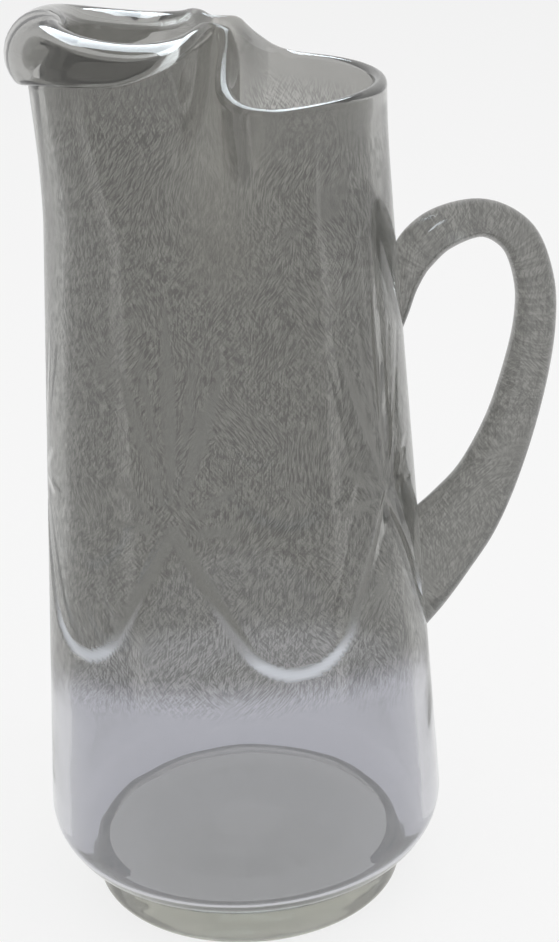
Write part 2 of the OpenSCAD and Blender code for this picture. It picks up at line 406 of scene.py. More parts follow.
@dataclass(frozen=True)
class ClearGlass:
    """Old clear glass, grey partly of its own and partly by painted shade, with soft ripples and,
    on the wall, painted lines of the textured backdrop seen through it.

    The attributes of a piece say where it is fused to another one ("seat"), where the backdrop
    seen through it is painted ("wear"), how deep it is cut ("cut"), where a painted
    highlight lies at the bottom of a cut ("satin"), where a gleam is painted on
    ("gleam") and where it is folded close together ("fold").
    """

    name: str
    # Grey of the glass above, partly its own faint grey and partly painted shade for the grey
    # backdrop seen through it; the grey below is paler, painted light for the pale table seen
    # through it
    tint_and_painted_shade: tuple[float, float, float]
    low_tint_and_painted_light: tuple[float, float, float]
    density: float
    ripple_size: float
    ripple_depth: float
    absorbed: tuple[float, float, float] = (0.5, 0.52, 0.5)
    # Heights and lean of the slanted line between the painted shade above and the painted light
    # below
    painted_shade_heights: tuple[float, float] = (0.076, 0.086)
    painted_shade_lean: float = 0.3
    around: bool = True
    wall_radius: float = 0.05
    hair_width: float = 0.00035
    hair_length: float = 0.003
    hair_depth: float = 0.05
    hair_detail: float = 2.0
    hair_gain: float = 6.5
    hair_limit: float = 0.6
    depth_share: float = 0.3
    drift: float = 0.004
    drift_scale: float = 45.0
    patch_scale: float = 70.0
    patch_edge: tuple[float, float] = (0.34, 0.5)
    # Painted light in the cuts and where a gleam is painted on
    cut_painted_gleam: float = 0.05
    gleam_gain: float = 0.6
    # Painted highlight: share and colour of the pale crescent at the bottom of each garland
    painted_crescent_share: float = 0.65
    painted_crescent_colour: tuple[float, float, float] = (0.84, 0.88, 0.95)
    cut_haze: float = 0.05
    painted_backdrop_haze: float = 0.1
    softness: float = 0.22
    fold_softness: float = 0.7
    through: tuple[float, float, float] = (0.74, 0.735, 0.72)
    shadow: tuple[float, float, float] = (0.93, 0.93, 0.93)
    bend: float = 1.5
    polish: float = 0.012
    ripple_detail: float = 1.5

    # Heading of each set of painted backdrop lines on the wall, and where its own patches lie
    HAIRS = ((math.radians(38), 0.3), (math.radians(-42), 0.7), (math.radians(-8), 1.1))

    def painted_backdrop_lines(self, board: Board, place: Value) -> Value:
        """Painted lines of the textured backdrop seen through the glass, as fine hairlines in
        patches of a few headings.

        Args:
            board: Board of the material.
            place: Object coordinates.

        Returns:
            Lightness of the hairlines, about 0 on average.
        """
        parts = board.node("SeparateXYZ", {}, {0: place})
        x, y, z = (Value(board, parts.outputs[k]) for k in range(3))
        across = board.maths("ARCTAN2", y, x) * self.wall_radius if self.around else x
        deep = (x if self.around else y) * self.depth_share
        flat = board.read("CombineXYZ", "Vector", {}, {0: across, 1: z, 2: deep})
        drift = board.read(
            "TexNoise", "Color", {}, {"Vector": flat, "Scale": self.drift_scale, "Detail": 1.0}
        )
        bent = board.read(
            "VectorMath",
            "Vector",
            {"operation": "MULTIPLY_ADD"},
            {0: drift, 1: (self.drift,) * 3, 2: flat},
        )
        lines: Value | Number = 0
        size = (self.hair_width, self.hair_length, self.hair_depth)
        for heading, shift in self.HAIRS:
            way = board.read(
                "Mapping",
                "Vector",
                {"vector_type": "TEXTURE"},
                {"Vector": bent, "Rotation": (0, 0, heading), "Scale": size},
            )
            grain = {"Vector": way, "Scale": 1.0, "Detail": self.hair_detail}
            line = board.read("TexNoise", "Fac", {}, grain)
            spot = board.read("Mapping", "Vector", {}, {"Vector": flat, "Location": (shift, 0, 0)})
            cloud = {"Vector": spot, "Scale": self.patch_scale, "Detail": 0.0}
            patch = board.read("TexNoise", "Fac", {}, cloud)
            lines = (line - 0.5) * board.climb(patch, *self.patch_edge) + lines
        below = board.maths("MINIMUM", lines * self.hair_gain, self.hair_limit)
        return board.maths("MAXIMUM", below, -self.hair_limit)

    def shade(self, board: Board, place: Value) -> Value:
        """Colour of the glass over the piece.

        Args:
            board: Board of the material.
            place: Object coordinates.

        Returns:
            The colour: painted shade, greyer above than below, with painted backdrop lines where
                the piece carries them.
        """
        # Painted shade: darker above a line that slants down towards the front and paler below it,
        # standing in for the grey backdrop and the pale table seen through the glass
        deep = board.read("SeparateXYZ", "Y", {}, {0: place}) + self.wall_radius
        height = deep * self.painted_shade_lean + board.read("SeparateXYZ", "Z", {}, {0: place})
        rise = board.climb(height, *self.painted_shade_heights)
        tint_and_painted_shade = board.mix(rise, (*self.low_tint_and_painted_light, 1), (*self.tint_and_painted_shade, 1))
        # Painted light: paler in the cuts and where a gleam is painted on the garlands, the fold
        # and the rolled lip
        pale = board.note("cut") * self.cut_painted_gleam + board.note("gleam") * self.gleam_gain + 1
        # Painted backdrop: lines of the textured backdrop seen through the glass, where the piece
        # carries them
        light = self.painted_backdrop_lines(board, place) * board.note("wear") + pale
        return board.read("VectorMath", "Vector", {"operation": "SCALE"}, {0: tint_and_painted_shade, "Scale": light})

    def material(self) -> bpy.types.Material:
        """Makes the material.

        Returns:
            A material that is see-through on the faces that are fused to another piece.
        """
        made = bpy.data.materials.new(self.name)
        made.use_nodes = True
        board = Board(made.node_tree)
        place = board.read("TexCoord", "Object")
        cut, wear = board.note("cut"), board.note("wear")
        ripples = board.read(
            "TexNoise",
            "Fac",
            {},
            {"Vector": place, "Scale": 1 / self.ripple_size, "Detail": self.ripple_detail},
        )
        relief = {"Height": ripples, "Strength": 1.0, "Distance": self.ripple_depth}
        bump = board.read("Bump", "Normal", {}, relief)
        glass = board.read(
            "BsdfPrincipled",
            "BSDF",
            {},
            {
                "Base Color": self.shade(board, place),
                "Roughness": cut * self.cut_haze + wear * self.painted_backdrop_haze + self.polish,
                "IOR": self.bend,
                "Transmission Weight": 1.0,
                "Normal": bump,
            },
        )
        soft = board.maths("MAXIMUM", board.note("fold") * self.fold_softness, wear * self.softness)
        calm = board.blend(soft, glass, board.clear(self.through))
        # Painted highlight: a pale bluish diffuse crescent in the garlands, for the pale table seen
        # through the cuts
        painted_crescent_shader = board.read("BsdfDiffuse", "BSDF", {}, {"Color": (*self.painted_crescent_colour, 1)})
        cut_glass = board.blend(board.note("satin") * self.painted_crescent_share, calm, painted_crescent_shader)
        lit = board.blend(board.rays("Shadow", "Diffuse"), cut_glass, board.clear(self.shadow))
        fused = board.maths("GREATER_THAN", board.note("seat"), 0.0)
        surface = board.blend(fused, lit, board.clear((1, 1, 1)))
        inner = {"Color": (*self.absorbed, 1), "Density": self.density}
        body = board.read("VolumeAbsorption", "Volume", {}, inner)
        board.node("OutputMaterial", {}, {"Surface": surface, "Volume": body})
        return made


@dataclass(frozen=True)
class PlainFloor:
    """Pale matt table top, with a little tooth and an even pale tone for the eye."""

    name: str = "pale_floor"
    colour: tuple[float, float, float] = (0.82, 0.82, 0.82)
    tone: float = 1.0
    even: float = 0.7
    tooth: float = 0.00002
    tooth_scale: float = 400.0
    roughness: float = 0.9

    def material(self) -> bpy.types.Material:
        """Makes the material.

        Returns:
            A material that is even and pale to the eye, and still takes shadows.
        """
        made = bpy.data.materials.new(self.name)
        made.use_nodes = True
        board = Board(made.node_tree)
        place = board.read("TexCoord", "Object")
        grain = board.read("TexNoise", "Fac", {}, {"Vector": place, "Scale": self.tooth_scale})
        bump = board.read("Bump", "Normal", {}, {"Height": grain, "Distance": self.tooth})
        matt = board.read(
            "BsdfPrincipled",
            "BSDF",
            {},
            {"Base Color": (*self.colour, 1), "Roughness": self.roughness, "Normal": bump},
        )
        glow = {"Color": (*(self.tone,) * 3, 1), "Strength": 1.0}
        pale = board.read("Emission", "Emission", {}, glow)
        surface = board.blend(board.seen() * self.even, matt, pale)
        board.node("OutputMaterial", {}, {"Surface": surface})
        return made


# ---- The pitcher ----


@dataclass(frozen=True)
class Rim:
    """Root of the lip all the way round, with the roll that the lip gets at each place."""

    mouth_radius: float = 0.0432
    edge_height: float = 0.2192
    spout_rise: float = 0.0153
    spout_reach: float = 0.0455
    spout_half_width: float = 0.0244
    pinch_half_width: float = 0.0082
    near_round: float = math.radians(74)
    far_round: float = math.radians(60)
    half_columns: int = 200
    dense_round: int = 1000
    dense_bend: int = 3000
    last_round_share: float = 11 / 12
    turn_weight: float = 0.8
    softness: float = 0.5
    soft_passes: int = 5
    corner_passes: int = 60
    corner_reach: float = 0.14

    # Way along and across as shares of the mouth, rise, and share of the half turn
    NEAR_PINCH = (
        (0.117, 0.909, 0.06, 0.427),
        (0.05, 0.78, 0.18, 0.445),
        (0.04, 0.6, 0.34, 0.468),
        (0.055, 0.43, 0.53, 0.488),
        (0.075, 0.315, 0.72, 0.506),
        (0.072, 0.235, 0.9, 0.522),
    )
    FAR_PINCH = (
        (0.36, 0.815, 0.16, 0.357),
        (0.27, 0.69, 0.38, 0.392),
        (0.205, 0.55, 0.58, 0.43),
        (0.16, 0.414, 0.76, 0.466),
        (0.128, 0.305, 0.9, 0.496),
        (0.09, 0.23, 0.98, 0.518),
    )
    PINCH_MIDDLE = (0.028, 0.538)
    # Way along and across as shares of the spout, rise, share of the half turn, roll and its height
    SPOUT = (
        (-0.012, 0.363, 1, 0.552, 0, 0),
        (-0.055, 0.469, 0.96, 0.569, 0.1, 0),
        (-0.14, 0.68, 0.88, 0.596, 0.34, 0),
        (-0.29, 0.917, 0.81, 0.644, 0.74, 0),
        (-0.48, 1, 0.79, 0.7, 0.97, 0.05),
        (-0.66, 0.93, 0.77, 0.761, 1, 0.2),
        (-0.812, 0.738, 0.68, 0.828, 1, 0.48),
        (-0.94, 0.4, 0.52, 0.911, 1, 0.84),
        (-1, 0, 0.45, 1, 1, 1),
    )

    def round_part(self, angles: Rows) -> Rows:
        """Places on the round part of the rim, where the lip isn't rolled.

        Args:
            angles: Angles from the handle.

        Returns:
            Rows like those of half.
        """
        still = np.zeros_like(angles)
        x, y = self.mouth_radius * np.cos(angles), self.mouth_radius * np.sin(angles)
        return np.column_stack((x, y, still + self.edge_height, angles, still, still))

    def half(self, pinch: Sequence[Sequence[float]], round_angle: float) -> Rows:
        """One side of the rim, from the handle to the tip of the spout.

        Args:
            pinch: Table of the pinch on this side.
            round_angle: Angle at which the rim leaves its circle.

        Returns:
            Rows of x, y, z, angle at the shoulder, roll, and height of the roll.
        """
        m, rise, half_turn = self.mouth_radius, self.spout_rise, math.pi
        z = self.edge_height
        rows = [*self.round_part(np.array([round_angle * self.last_round_share, round_angle]))]
        rows += [(a * m, b * m, z + c * rise, d * half_turn, 0, 0) for a, b, c, d in pinch]
        a, d = self.PINCH_MIDDLE
        rows.append((a * m, self.pinch_half_width, z + rise, d * half_turn, 0, 0))
        reach, width = self.spout_reach, self.spout_half_width
        for a, b, c, d, roll, high in self.SPOUT:
            rows.append((a * reach, b * width, z + c * rise, d * half_turn, roll, high))
        table = np.array(rows, float)
        bent = smooth_path(table, np.linspace(1, len(table) - 1, self.dense_bend))
        start = self.round_part(np.linspace(0, round_angle, self.dense_round))
        dense = np.vstack((start[:-1], bent))
        step = np.diff(dense, axis=0)
        step[:, 3] *= self.turn_weight * self.mouth_radius
        way = np.concatenate(([0.0], np.cumsum(np.linalg.norm(step[:, :4], axis=1))))
        return spread_evenly(dense, way, self.half_columns)

    def columns(self) -> Rows:
        """Makes the whole rim, with its corners softened.

        Returns:
            Rows like those of half, counter-clockwise from the handle.
        """
        far = self.half(self.FAR_PINCH, self.far_round)
        near = self.half(self.NEAR_PINCH, self.near_round)
        near[:, 1] *= -1
        near[:, 3] = math.tau - near[:, 3]
        whole = np.vstack((far, near[-2:0:-1]))
        even = np.full(len(whole), self.softness)
        for _ in range(self.soft_passes):
            whole = self.soften(whole, even)
        corner = np.minimum(
            np.abs(whole[:, 3] - self.far_round), np.abs(whole[:, 3] - math.tau + self.near_round)
        )
        for _ in range(self.corner_passes):
            near = np.exp(-((corner / self.corner_reach) ** 2))
            whole = self.soften(whole, self.softness * near)
        return whole

    def soften(self, whole: Rows, share: Rows) -> Rows:
        """Moves each column towards the middle of its two neighbours.

        Args:
            whole: The columns.
            share: Share of the way that each of them moves.

        Returns:
            The columns, each still at its own angle.
        """
        middle = (np.roll(whole, 1, axis=0) + np.roll(whole, -1, axis=0)) / 2
        moved = lerp(whole, middle, share[:, None])
        moved[:, 3] = whole[:, 3]
        return moved


@dataclass(frozen=True)
class CutOrnament:
    """Shallow cuts in the wall: garlands that hang from five knots, with a fan of rays on each."""

    knot_height: float = 0.124
    knots: int = 5
    first_knot: float = math.radians(36)
    garland_radius: float = 0.0163
    garland_drop: float = 0.0394
    garland_width: float = 0.0036
    ray_reach: float = 0.06
    ray_width: float = 0.004
    depth: float = 0.0005
    ray_depth: float = 0.5
    whole_half_width: float = 0.0104
    arc_points: int = 60
    groove_power: float = 0.7
    least_half: float = 1e-9

    # Heading in half turns from upright, start and end as shares of the reach, share of the width
    RAYS = (
        (0, 0.05, 1, 1),
        (0.051, 0.3, 0.83, 0.6),
        (0.1, 0.06, 0.78, 0.95),
        (0.3, 0.06, 0.36, 0.8),
        (0.5, 0.06, 0.3, 0.85),
    )

    @property
    def lowest(self) -> float:
        """Height of the lowest edge of the garlands."""
        return self.knot_height - self.garland_drop - self.garland_width / 2

    def garland(self, half: float) -> Rows:
        """Middle line of half a garland, from its lowest place to the knot.

        Args:
            half: Half the way between two knots, seen along the radius between them.

        Returns:
            Way across and height of each point.
        """
        middle = self.knot_height - self.garland_drop + self.garland_radius
        rise = self.knot_height - middle
        end = math.atan2(rise, half) - math.acos(self.garland_radius / math.hypot(half, rise))
        turn = np.linspace(-math.pi / 2, end, self.arc_points)
        across = self.garland_radius * np.cos(turn)
        arc = np.column_stack((across, middle + self.garland_radius * np.sin(turn)))
        arm = np.linspace(arc[-1], (half, self.knot_height), self.arc_points)
        return np.vstack((arc, arm[1:]))

    def shares_at(self, angle: Rows, height: Rows, radius: Rows) -> tuple[Rows, Rows]:
        """How much of the full depth the rays and the garlands are cut.

        Args:
            angle: Angles round the axis, from the handle.
            height: Heights above the table.
            radius: Radii of the wall at these heights.

        Returns:
            Shares of the rays and shares of the garlands, from 0, where the wall is whole, to 1.
        """
        pitch = math.tau / self.knots
        x = ((angle - self.first_knot + pitch / 2) % pitch - pitch / 2) * radius
        z = height - self.knot_height
        cut = np.zeros_like(x)
        for heading, first, last, share in self.RAYS:
            turn = heading * math.pi
            along = np.abs(x) * math.sin(turn) + z * math.cos(turn)
            across = np.abs(x) * math.cos(turn) - z * math.sin(turn)
            place = (along / self.ray_reach - first) / (last - first)
            deep = share * np.clip(1 - (2 * place - 1) ** 2, 0, 1)
            half = deep * self.ray_width / 2 + self.least_half
            cut = np.maximum(cut, deep * np.clip(1 - (across / half) ** 2, 0, 1))
        off = (angle - self.first_knot) % pitch - pitch / 2
        flat = np.abs(radius * np.sin(off))
        half = float(self.ring_radius(radius, height) * math.sin(pitch / 2))
        way = np.full_like(x, 1.0)
        for px, pz in self.garland(half):
            way = np.minimum(way, np.hypot(flat - px, height - pz))
        groove = np.clip(1 - (2 * way / self.garland_width) ** 2, 0, 1) ** self.groove_power
        joint = (np.abs(radius * np.sin(angle)) < self.whole_half_width) & (np.cos(angle) > 0)
        return cut, np.where(joint, 0, groove)

    def ring_radius(self, radius: Rows, height: Rows) -> float:
        """Radius of the wall at the height of the knots."""
        nearest = np.argmin(np.abs(height - self.knot_height))
        return float(radius.ravel()[nearest])


@dataclass(frozen=True)
class Vessel:
    """Blown body with its thick floor, its cut wall, the ice lip and the rolled spout."""

    shoulder_radius: float = 0.0442
    shoulder_height: float = 0.192
    belly_radius: float = 0.0548
    mouth_radius: float = 0.0432
    wall: float = 0.005
    floor: float = 0.0055
    inner_heel: float = 0.0055
    heel_radius: float = 0.015
    foot_height: float = 0.0114
    lip: float = 0.0036
    side_roll: float = 0.010
    tip_roll: float = 0.016
    edge: float = 0.004
    upright: float = 0.65
    rim: Rim = Rim()
    ornament: CutOrnament = CutOrnament()
    smooth_angle: float = math.radians(50)

    # How far the marks of the joints reach over the seat, to both sides and into the wall
    joint_reach: float = 0.001
    handle_reach: float = 0.02
    skin: float = 0.002

    # Numbers of rings, and the ways between the rings of the cut wall and of the wall above
    disc_rings: int = 4
    heel_rings: int = 15
    low_rings: int = 5
    cut_step: float = 0.0009
    change_step: float = 0.0005
    plain_step: float = 0.0015
    below_cuts: float = 0.001
    above_cuts: float = 0.004
    top_gap: float = 0.004
    neck_rings: int = 18
    roll_rings: int = 22
    edge_rings: int = 6
    inner_heel_rings: int = 12
    inner_wall_rings: int = 10

    # Where the backdrop seen through the glass is painted, where painted highlights and gleams lie
    # and where it is folded: heights, ways and shares
    painted_backdrop_start: float = 0.074
    painted_backdrop_band: float = 0.01
    painted_backdrop_lean: float = 0.3
    painted_backdrop_front: float = 0.05
    painted_backdrop_end_rings: int = 6
    painted_backdrop_clearance: float = 3
    painted_crescent_drop: float = 0.021
    painted_crescent_band: float = 0.015
    painted_crescent_power: float = 4
    cut_gleam: float = 0.04
    fold_gleam: float = 0.4
    roll_gleam: float = 0.1
    roll_lead_rings: int = 3
    roll_band_rings: int = 5
    fold_width: float = 0.09
    fold_band: float = 0.02

    # Length of each step of the roll as a share of its size, and its heading in half turns
    SIDE_ROLL = (
        (0.14, 0), (0.14, 0.02), (0.05, 0.1), (0.05, 0.26), (0.05, 0.42), (0.06, 0.56),
        (0.06, 0.69), (0.08, 0.81), (0.08, 0.94), (0.14, 1), (0.14, 1.02),
    )  # fmt: skip
    TIP_ROLL = (
        (0.406, -0.19), (0.406, -0.19), (0.098, -0.08), (0.098, 0.155), (0.098, 0.385),
        (0.159, 0.56), (0.159, 0.69), (0.181, 0.81), (0.181, 0.94), (0.115, 1.05), (0.11, 1.16),
    )  # fmt: skip

    @property
    def heel_middle(self) -> tuple[float, float]:
        """Radius and height of the middle of the heel's curve."""
        return self.belly_radius - self.heel_radius, self.foot_height + self.heel_radius

    @property
    def heel_turn(self) -> float:
        """Finds where the wall leaves the heel's curve.

        Returns:
            The angle over level.
        """
        x, z = self.heel_middle
        run, climb = self.shoulder_radius - x, self.shoulder_height - z
        return math.atan2(climb, run) - math.acos(self.heel_radius / math.hypot(run, climb))

    @property
    def root(self) -> float:
        """Thickness of the straight wall, measured level."""
        return self.wall / math.cos(self.heel_turn)

    def disc(self, radius: float, height: float) -> Rows:
        """Radii and heights of a flat disc's rings, without its border."""
        radii = np.linspace(0, radius, self.disc_rings + 1)[:-1]
        return np.column_stack((radii, np.full(self.disc_rings, height)))

    def heel(self, radius: float, count: int) -> Rows:
        """Follows the heel's curve from its lowest place to the wall.

        Args:
            radius: Radius of the curve.
            count: How many places to give.

        Returns:
            Radius and height of each place.
        """
        x, z = self.heel_middle
        turn = np.linspace(-math.pi / 2, self.heel_turn, count)
        return np.column_stack((x + radius * np.cos(turn), z + radius * np.sin(turn)))

    def wall_radius(self, height: Rows) -> Rows:
        """Outer radius of the straight wall."""
        x, z = self.heel(self.heel_radius, 2)[-1]
        return lerp(x, self.shoulder_radius, (height - z) / (self.shoulder_height - z))

    def cut_shares(self, rings: Rows, angles: Rows) -> tuple[Rows, Rows]:
        """Works out how deep the wall is cut.

        Args:
            rings: Places of the wall's rings.
            angles: Angles of the columns.

        Returns:
            Shares of the rays' and of the garlands' full depth at each place.
        """
        heights = rings[..., 2]
        radii = self.wall_radius(heights)
        return self.ornament.shares_at(angles + 0 * heights, heights, radii)

    def turned(self, outline: Rows, angles: Rows) -> Rows:
        """Rings that turn an outline of radii and heights round the axis."""
        r, z = outline[:, :1], outline[:, 1:]
        return np.stack((r * np.cos(angles), r * np.sin(angles), z + 0 * angles), axis=2)

    def wall_ring(self, columns: Rows, share: float) -> Rows:
        """Lays one ring of the outer face between the shoulder and the root of the lip.

        Args:
            columns: The rim's columns.
            share: Share of the way from the shoulder up to the root of the lip.

        Returns:
            The ring's places.
        """
        angle = columns[:, 3]
        r = lerp(self.shoulder_radius, self.mouth_radius, share)
        low = np.column_stack((r * np.cos(angle), r * np.sin(angle)))
        share_in = share**2 * lerp(1, 3 - 2 * share, self.upright)
        flat = lerp(low, columns[:, :2], share_in)
        z = lerp(self.shoulder_height, columns[:, 2], share)
        return np.column_stack((flat, z))

    def lip_rings(self, columns: Rows, wall_top: Rows, below: Rows, steps: int) -> Rows:
        """Outer face of the lip, which stands up round the mouth and rolls over at the spout.

        Args:
            columns: The rim's columns.
            wall_top: The last ring of the wall.
            below: The ring of the wall below it.
            steps: How many rings to make.

        Returns:
            The rings, without the wall's own last one.
        """
        up = unit(wall_top - below)
        along = np.roll(columns, -1, axis=0)[:, :2] - np.roll(columns, 1, axis=0)[:, :2]
        along = unit(along)
        side = np.column_stack((along[:, 1], -along[:, 0], np.zeros(len(along))))
        out = unit(side - np.sum(side * up, axis=1, keepdims=True) * up)
        roll = np.clip(columns[:, 4], 0, 1)
        high = np.clip(columns[:, 5], 0, 1)
        lean = np.arccos(np.clip(up[:, 2], -1, 1))
        ways = [np.zeros((len(columns), 2))]
        count = len(self.SIDE_ROLL)
        for k, (side_step, tip_step) in enumerate(zip(self.SIDE_ROLL, self.TIP_ROLL, strict=True)):
            rolled = lerp(side_step[0] * self.side_roll, tip_step[0] * self.tip_roll, high)
            length = lerp(self.edge / count, rolled, roll)
            heading = lerp(side_step[1], tip_step[1], high) * math.pi
            turn = lerp(lean * (k + 0.5) / count, heading, roll)
            step = np.column_stack((length * np.sin(turn), length * np.cos(turn)))
            ways.append(ways[-1] + step)
        table = np.array(ways).reshape(count + 1, -1)
        table = np.vstack((-table[1:2], table))
        way = smooth_path(table, np.linspace(1, count + 1, steps + 1)[1:])
        way = way.reshape(steps, len(columns), 2)
        return wall_top + way[..., :1] * out + way[..., 1:] * up

    def wall_heights(self) -> Rows:
        """Spreads the rings of the straight wall, close together where it is cut.

        Returns:
            Their heights.
        """
        start = self.heel(self.heel_radius, 2)[-1][1]
        low, knot = self.ornament.lowest - self.below_cuts, self.ornament.knot_height
        middle, end = knot + self.above_cuts, self.shoulder_height - self.top_gap
        return np.concatenate(
            (
                np.linspace(start, low, self.low_rings + 2)[1:-1],
                np.arange(low, middle, self.cut_step),
                np.arange(middle + self.change_step, end, self.plain_step),
                [self.shoulder_height - self.top_gap / 2],
            )
        )

    def outer_face(self, columns: Rows) -> Rows:
        """Lays the outer rings from the shoulder up and over the roll of the lip.

        Args:
            columns: The rim's columns.

        Returns:
            The rings.
        """
        count = self.neck_rings
        neck = np.array([self.wall_ring(columns, k / count) for k in range(count + 1)])
        return np.vstack((neck, self.lip_rings(columns, neck[-1], neck[-2], self.roll_rings)))

    def edge_and_back(self, face: Rows, below: Rows) -> tuple[Rows, Rows]:
        """Closes the outer face by a round edge and lays the inner face behind it.

        Args:
            face: Outer rings from the shoulder to the end of the lip.
            below: The ring below them.

        Returns:
            Rings of the edge, and rings of the inner face from the shoulder to the edge.
        """
        beyond = np.vstack((face[1:], face[-1:]))
        before = np.vstack((below[None], face[:-1]))
        around = np.roll(face, -1, axis=1) - np.roll(face, 1, axis=1)
        outward = unit(np.cross(around, beyond - before))
        number = np.arange(len(face))[:, None, None]
        thickness = lerp(self.root, self.lip, np.minimum(number / self.neck_rings, 1))
        onward = unit(beyond[-1] - before[-1])
        turns = np.linspace(0, math.pi, self.edge_rings + 2)[1:-1]
        edge = [
            face[-1] + self.lip / 2 * ((math.cos(a) - 1) * outward[-1] + math.sin(a) * onward)
            for a in turns
        ]
        return np.array(edge), face - thickness * outward

    def inside(self, angles: Rows) -> Rows:
        """Lays the rings of the floor's upper side, the inner heel and the inner wall.

        Args:
            angles: Angles of the columns.

        Returns:
            The rings, from the middle of the floor up to the shoulder.
        """
        height = self.foot_height + self.floor + self.inner_heel
        turn = np.linspace(-math.pi / 2, self.heel_turn, self.inner_heel_rings)
        middle = self.wall_radius(height) - self.root - self.inner_heel / math.cos(self.heel_turn)
        heel = np.column_stack(
            (middle + self.inner_heel * np.cos(turn), height + self.inner_heel * np.sin(turn))
        )
        top = (self.shoulder_radius - self.root, self.shoulder_height)
        wall = np.linspace(heel[-1], top, self.inner_wall_rings + 2)[1:-1]
        return self.turned(np.vstack((self.disc(*heel[0]), heel, wall)), angles)

    def notes(
        self, rings: Rows, angles: Rows, cuts: tuple[Rows, Rows], inner: int
    ) -> dict[str, Rows]:
        """Says what the glass is like all over the skin.

        Args:
            rings: Places of all the rings.
            angles: Angles of the columns.
            cuts: Shares of the rays and of the garlands, on the rings up to the shoulder.
            inner: How many rings the inside has.

        Returns:
            How much painted gleam, painted crescent, cut, painted backdrop and fold the glass has
            at each place, by name.
        """
        rays, garlands = cuts
        count, heights, number = len(rays), rings[..., 2], np.arange(len(rings))
        gleam, satin, cut = (np.zeros(heights.shape) for _ in range(3))
        cut[:count] = np.maximum(rays, garlands)
        # Painted highlight: a pale crescent at the bottom of each garland, for the pale table seen
        # through the cut
        drop = self.ornament.knot_height - self.painted_crescent_drop - heights[:count]
        low_share = np.clip(drop / self.painted_crescent_band, 0, 1)
        satin[:count] = np.sqrt(garlands) * low_share**self.painted_crescent_power
        # Painted gleam along the garlands
        gleam[:count] = garlands * self.cut_gleam
        pinch = np.abs(angles - math.pi) / math.pi - 0.5
        fold = np.exp(-((pinch / self.fold_width) ** 2))
        over = (heights - self.shoulder_height) / self.fold_band
        high = np.clip(over + 0.5, 0, 1)
        lip_start = count + self.neck_rings - self.roll_lead_rings
        rolled = np.clip((number - lip_start) / self.roll_band_rings, 0, 1)
        rolled *= number < len(rings) - inner - self.neck_rings
        # Painted gleam on the fold of the pinch and on the rolled lip, above the shoulder
        lip = np.maximum(self.fold_gleam * fold, self.roll_gleam * rolled[:, None]) * high
        # Painted backdrop lines: above a line that slants down towards the front, where the grey
        # backdrop shows through the glass, ending below the neck and left out of the cuts
        leant = heights + self.painted_backdrop_lean * (rings[..., 1] + self.painted_backdrop_front)
        climb = np.clip((leant - self.painted_backdrop_start) / self.painted_backdrop_band, 0, 1)
        left = (count + self.neck_rings - number) / self.painted_backdrop_end_rings
        clear = np.clip(1 - self.painted_backdrop_clearance * cut, 0, 1)
        return {
            "gleam": np.maximum(gleam, lip),
            "satin": satin,
            "cut": cut,
            "wear": climb * np.clip(left, 0, 1)[:, None] * clear,
            "fold": fold * np.clip(over + 1, 0, 1),
        }

    def rings(self) -> tuple[Rows, dict[str, Rows]]:
        """Lays the whole skin, from the middle of the underside to the middle of the floor.

        Returns:
            Places of all the rings, and the notes on the glass at each place, by name.
        """
        columns = self.rim.columns()
        angles = columns[:, 3]
        heights = self.wall_heights()
        wall = np.column_stack((self.wall_radius(heights), heights))
        seat = self.disc(self.heel_middle[0], self.foot_height)
        heel = self.heel(self.heel_radius, self.heel_rings)
        lower = self.turned(np.vstack((seat, heel, wall)), angles)
        rays, garlands = self.cut_shares(lower, angles)
        deep = self.ornament.depth * np.maximum(rays * self.ornament.ray_depth, garlands)
        lower[..., 0] -= deep * np.cos(angles)
        lower[..., 1] -= deep * np.sin(angles)
        face = self.outer_face(columns)
        edge, back = self.edge_and_back(face, lower[-1])
        inside = self.inside(angles)
        rings = np.vstack((lower, face, edge, back[::-1], inside[::-1]))
        return rings, self.notes(rings, angles, (rays, garlands), len(inside))

    def build(self) -> bpy.types.Object:
        """Spins the blank, pulls the lip and marks the seat of the foot.

        Returns:
            The finished body.
        """
        rings, notes = self.rings()
        piece = Bench.draw_outline("vessel_glass", rings[:, 0][:, [0, 2]])
        Bench.spin(piece, rings.shape[1])
        row, column = Bench.lay_rings(piece, rings)
        places = Bench.corners(piece)
        inset = self.heel_middle[0] - np.hypot(places[:, 0], places[:, 1])
        under = places[:, 2] < self.foot_height + CLOSE
        Bench.note(piece, "seat", "POINT", np.where(under, inset, -self.joint_reach))
        for name, values in notes.items():
            Bench.note(piece, name, "POINT", values[row, column])
        Bench.smooth(piece, self.smooth_angle)
        return piece

    def take_handle(self, piece: bpy.types.Object, border: Rows) -> None:
        """Marks the part of the wall that the handle is fused to.

        Args:
            piece: The finished body.
            border: Both ends of the edges round the handle's joints.
        """
        places = Bench.corners(piece)
        seat = Bench.values(piece, "seat")
        radius = np.hypot(places[:, 0], places[:, 1])
        outer = radius > self.wall_radius(places[:, 2]) - self.skin
        behind = (places[:, 0] > 0) & (np.abs(places[:, 1]) < self.handle_reach)
        near = np.flatnonzero(behind & outer)
        spot = places[near][:, None, 1:]
        start, end = border[:, 0, 1:], border[:, 1, 1:]
        run = end - start
        share = np.sum((spot - start) * run, axis=2) / np.sum(run * run, axis=1)
        foot = start + np.clip(share, 0, 1)[..., None] * run
        way = np.min(np.linalg.norm(spot - foot, axis=2), axis=1)
        crossed = (start[:, 1] > spot[..., 1]) != (end[:, 1] > spot[..., 1])
        rise = np.where(np.abs(run[:, 1]) < TINY, TINY, run[:, 1])
        level = start[:, 0] + (spot[..., 1] - start[:, 1]) / rise * run[:, 0]
        inside = np.sum(crossed & (spot[..., 0] < level), axis=1) % 2 == 1
        seat[near] = np.where(inside, way, -way)
        piece.data.attributes["seat"].data.foreach_set("value", seat.astype(np.float32))


